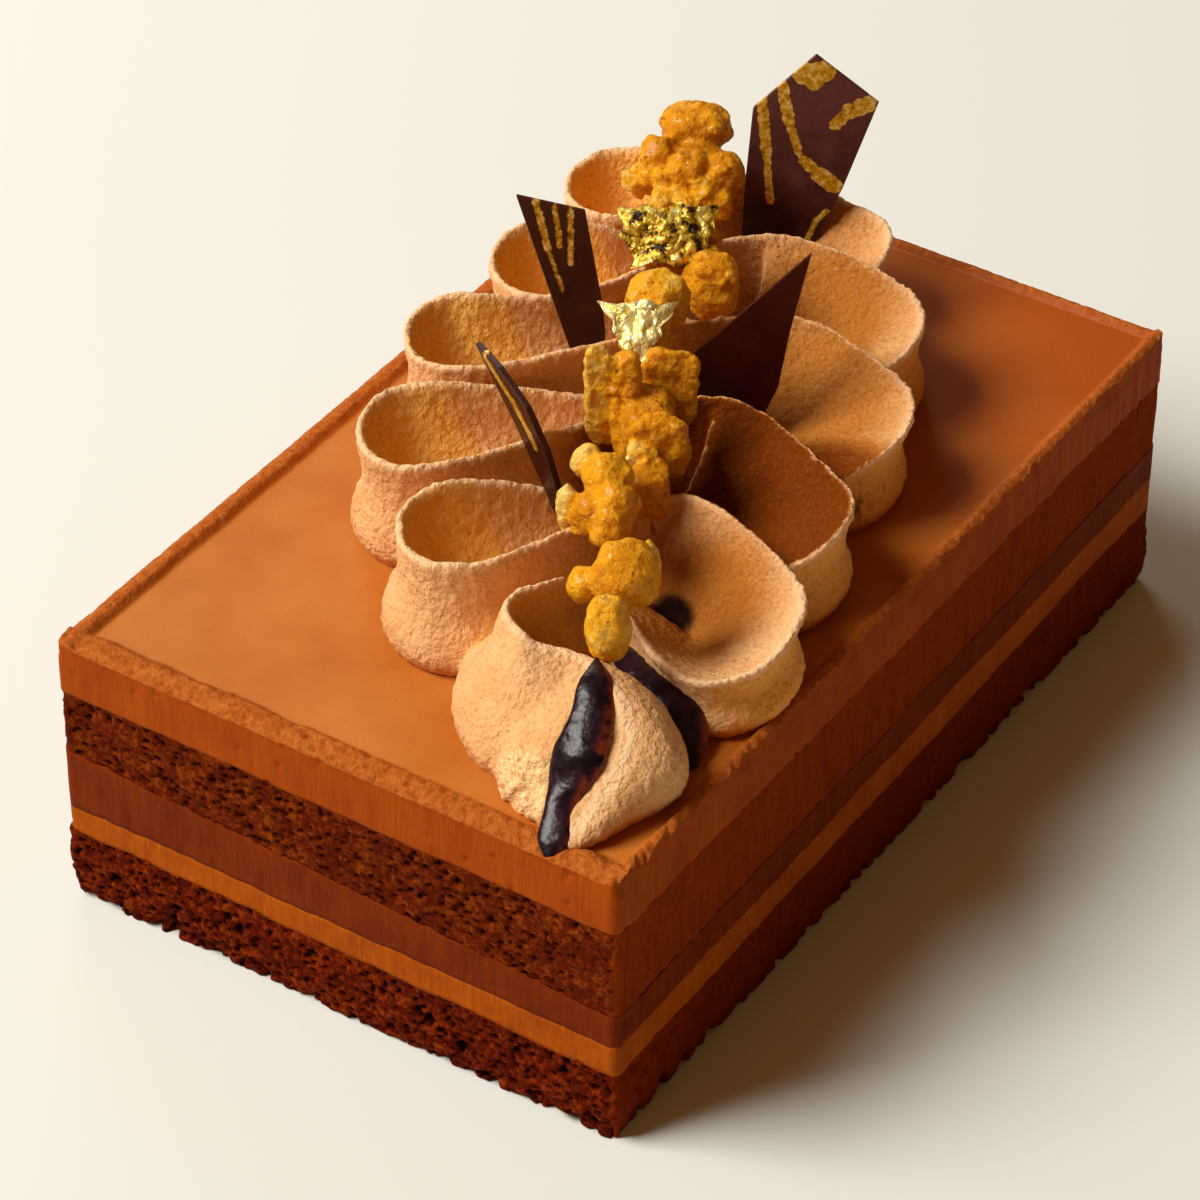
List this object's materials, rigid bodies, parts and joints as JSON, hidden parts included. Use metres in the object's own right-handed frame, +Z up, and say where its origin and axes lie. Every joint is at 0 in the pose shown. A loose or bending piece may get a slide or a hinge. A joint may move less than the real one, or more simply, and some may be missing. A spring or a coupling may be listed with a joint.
{
  "type": "mini chocolate cake",
  "caption": "Small rectangular layered chocolate cake with a piped cream ruffle, candied nuts, gold leaf and thin chocolate shards on top.",
  "frame": {"origin": "centre of the cake's base, on the surface it stands on", "axes": "+X along the short side, +Y along the long side, +Z up; the front end with the solid tip of the ruffle is at -Y"},
  "size_m": [0.0818, 0.1313, 0.0745],
  "materials": {
    "base_sponge_crumb": "dark, coarse, open crumb",
    "upper_sponge_crumb": "dark brown, open crumb",
    "praline_cream": "satin caramel-coloured cream",
    "dark_ganache": "smooth satin dark cream",
    "milk_chocolate_mousse": "satin milk chocolate mousse",
    "piped_cream": "matt whipped chocolate cream",
    "candied_nut": "glossy amber caramel over nut",
    "plain_chocolate": "glossy dark chocolate",
    "patterned_chocolate": "dark chocolate with gold streaks"
  },
  "bodies": {
    "root": {"sponge_base": "base_sponge_crumb", "praline_layer": "praline_cream", "ganache_layer": "dark_ganache", "sponge_upper": "upper_sponge_crumb", "mousse_top": "milk_chocolate_mousse", "cream_ruffle": "piped_cream", "nut_front": "candied_nut", "nut_lobed": "candied_nut", "nut_long": "candied_nut", "nut_flaky": "candied_nut", "nut_amber": "candied_nut", "nut_leafed": "candied_nut", "nut_cluster": "candied_nut", "shard_back_right": "patterned_chocolate", "shard_back_left": "patterned_chocolate", "shard_front_left": "patterned_chocolate", "shard_right": "plain_chocolate"}
  },
  "joints": []
}
